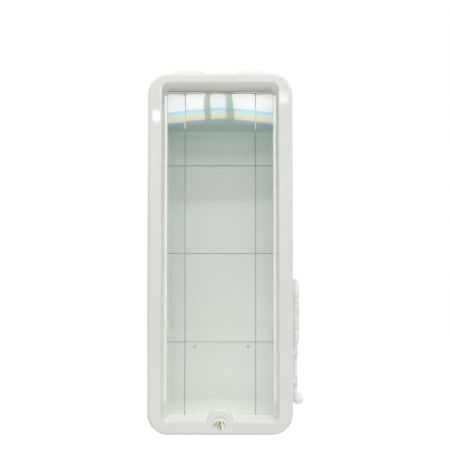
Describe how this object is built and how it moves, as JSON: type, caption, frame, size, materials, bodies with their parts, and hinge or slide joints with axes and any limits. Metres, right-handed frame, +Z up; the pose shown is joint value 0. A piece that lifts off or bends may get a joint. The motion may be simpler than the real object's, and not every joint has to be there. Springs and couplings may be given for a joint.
{
  "type": "surface-mounted fire extinguisher cabinet",
  "caption": "Tall white wall cabinet with rounded corners, a lift-up bezel cover round a clear scored break-out panel, a keyed cam lock and a striker held at its side.",
  "frame": {"origin": "centre of the tub's flat back, on the wall the cabinet is screwed to", "axes": "+Z up, -Y out of the wall towards the person opening it, +X to that person's right"},
  "size_m": [0.2768, 0.19, 0.632],
  "materials": {
    "white_moulding": "smooth white moulded plastic, soft gloss",
    "clear_sheet": "clear acrylic sheet, faint green, polished",
    "zinc_plated": "zinc plated steel, satin",
    "brass": "turned brass with worn nickel, satin",
    "bright_steel": "bright drawn steel"
  },
  "bodies": {
    "cabinet": {"tub": "white_moulding", "tub_hinge_leaf_left": "white_moulding", "tub_hinge_leaf_right": "white_moulding", "hinge_pin_left": "bright_steel", "hinge_pin_right": "bright_steel", "lock_strike": "zinc_plated", "striker_cradle_1": "white_moulding", "striker_cradle_2": "white_moulding"},
    "cover": {"cover_frame": "white_moulding", "clear_panel": "clear_sheet", "cover_hinge_leaf_left": "white_moulding", "cover_hinge_leaf_right": "white_moulding", "lock_barrel": "brass", "lock_nut": "brass", "panel_clip_left_low": "zinc_plated", "panel_clip_left_middle": "zinc_plated", "panel_clip_left_high": "zinc_plated", "panel_clip_right_low": "zinc_plated", "panel_clip_right_middle": "zinc_plated", "panel_clip_right_high": "zinc_plated", "panel_clip_bottom_left": "zinc_plated", "panel_clip_bottom_right": "zinc_plated", "panel_clip_top_left": "zinc_plated", "panel_clip_top_right": "zinc_plated"},
    "lock": {"lock_plug": "brass", "lock_cam": "zinc_plated", "cam_screw": "zinc_plated"},
    "striker": {"striker_tip": "white_moulding", "striker_grip": "white_moulding", "striker_shank": "white_moulding", "striker_knob": "white_moulding"}
  },
  "joints": [
    {"name": "cover_hinge", "type": "hinge", "parent": "cabinet", "child": "cover", "pos_m": [0, -0.1515, 0.317], "axis": [-1, 0, 0], "range_deg": [0, 110]},
    {"name": "lock_turn", "type": "hinge", "parent": "cover", "child": "lock", "pos_m": [0, -0.19, -0.288], "axis": [0, 1, 0], "range_deg": [0, 180]},
    {"name": "striker_pull", "type": "slide", "parent": "cabinet", "child": "striker", "axis": [1, 0, 0], "range_m": [0, 0.04]}
  ]
}
